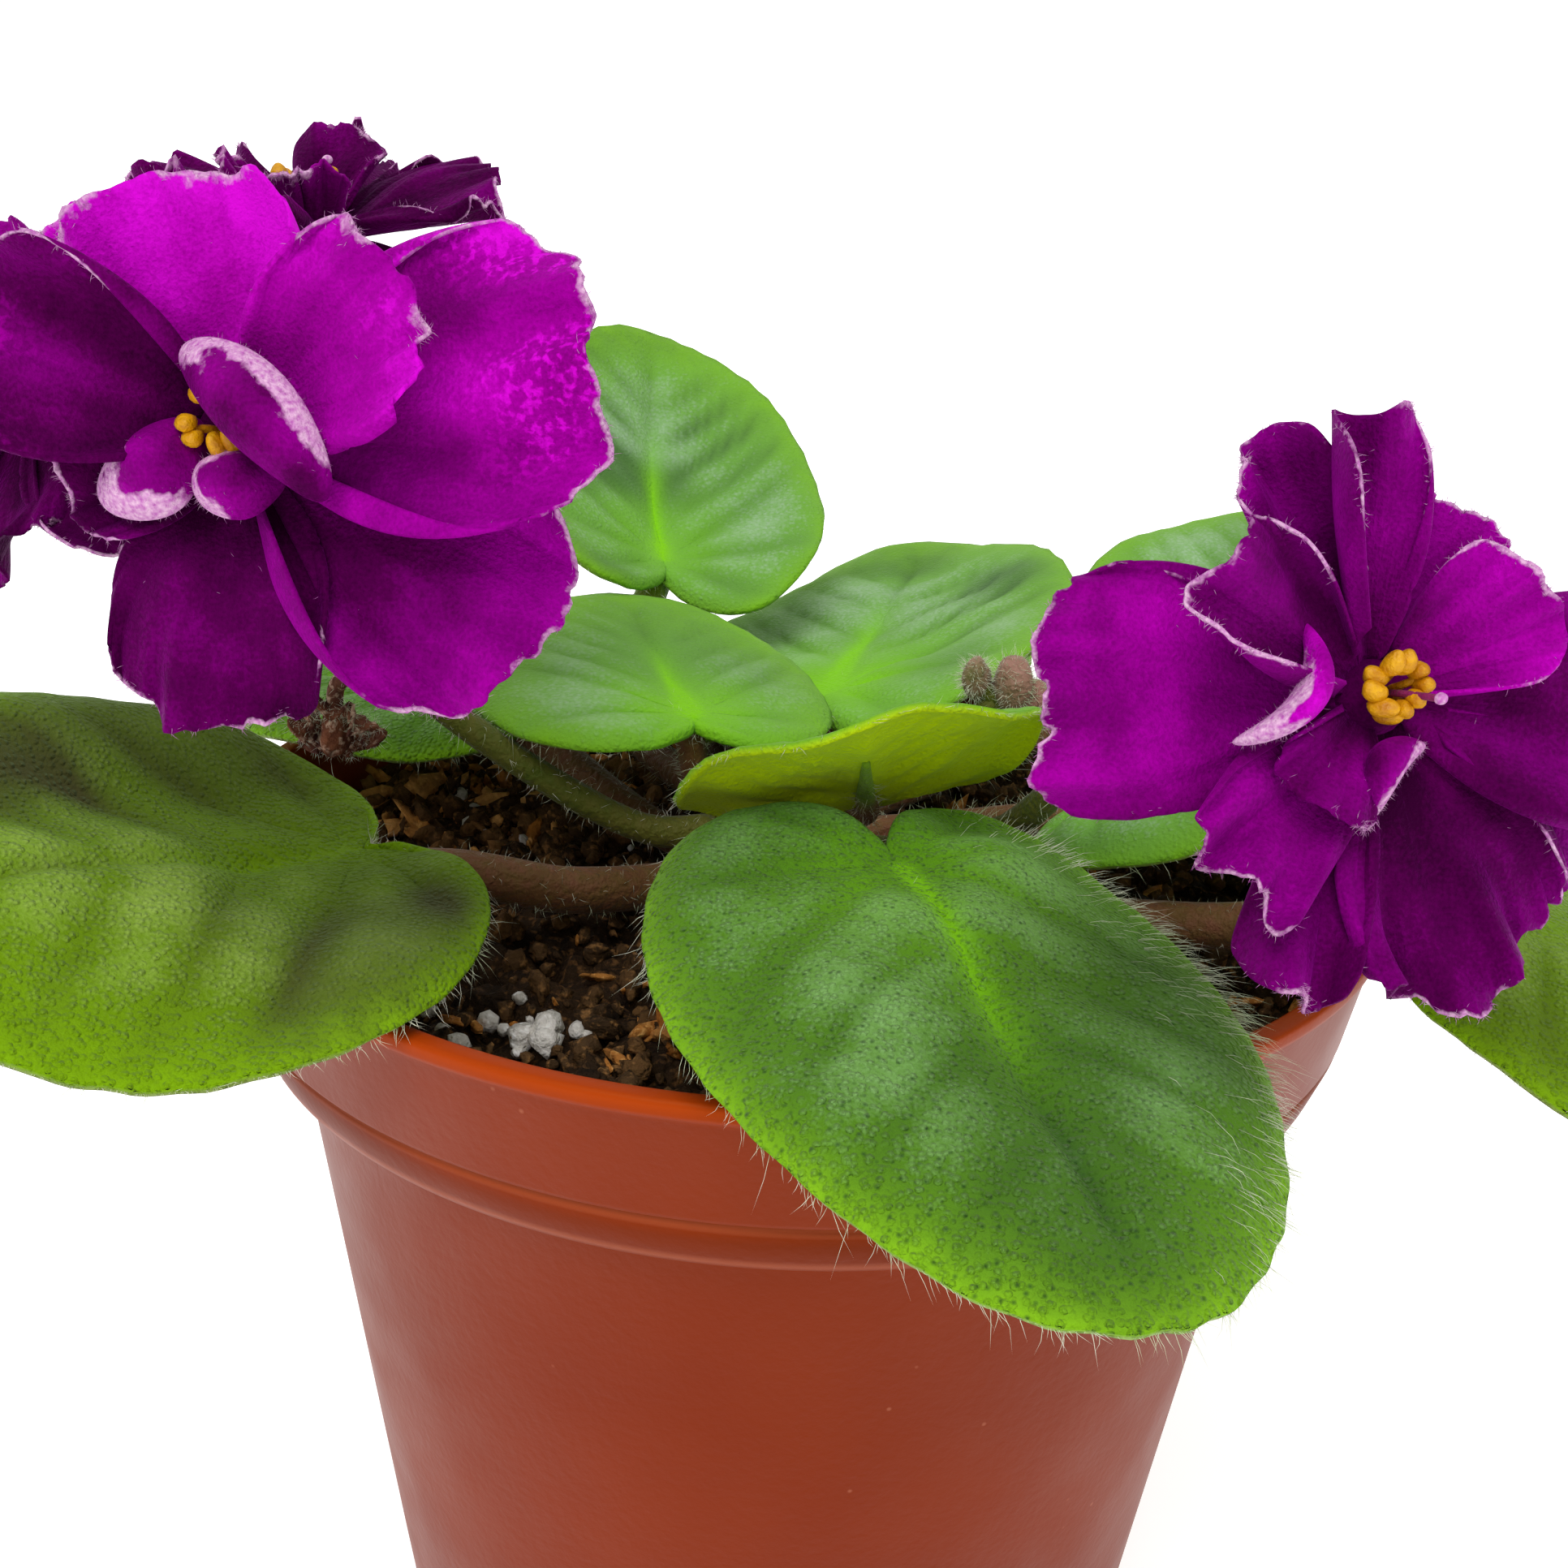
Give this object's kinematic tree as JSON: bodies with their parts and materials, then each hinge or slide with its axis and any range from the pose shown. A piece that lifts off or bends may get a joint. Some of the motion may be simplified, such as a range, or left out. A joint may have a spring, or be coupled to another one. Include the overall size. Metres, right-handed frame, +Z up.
{
  "type": "potted african violet",
  "caption": "Potted african violet: a rosette of round hairy leaves and frilled purple flowers over dark soil in a tapered plastic nursery pot.",
  "frame": {"origin": "middle of the underside of the pot's base, where the pot stands on a surface", "axes": "+Z up along the pot's axis; -Y towards the side that the front leaf and the two large flowers face"},
  "size_m": [0.1764, 0.1501, 0.1578],
  "materials": {
    "pot": "satin",
    "soil": "matte, crumbly peat",
    "leaf": "soft, hairy",
    "stalk": "soft, hairy",
    "petal": "velvety",
    "anther": "matte"
  },
  "bodies": {
    "root": {"pot": "pot", "soil": "soil", "crown": "stalk", "leaf_front": "leaf", "leaf_left": "leaf", "leaf_right": "leaf", "leaf_back_tall": "leaf", "leaf_back_low": "leaf", "leaf_back_right": "leaf", "leaf_young_left": "leaf", "leaf_young_front": "leaf", "leaf_under_bloom": "leaf", "leaf_rear_left": "leaf", "leaf_rear": "leaf", "leaf_rear_right": "leaf", "leaf_far_right": "leaf", "stalk_left": "stalk", "stalk_right": "stalk", "stalk_buds": "stalk", "bloom_front_left": "petal", "anthers_front_left": "anther", "bloom_top": "petal", "anthers_top": "anther", "bloom_far_left": "petal", "anthers_far_left": "anther", "bloom_right": "petal", "anthers_right": "anther"}
  },
  "joints": []
}
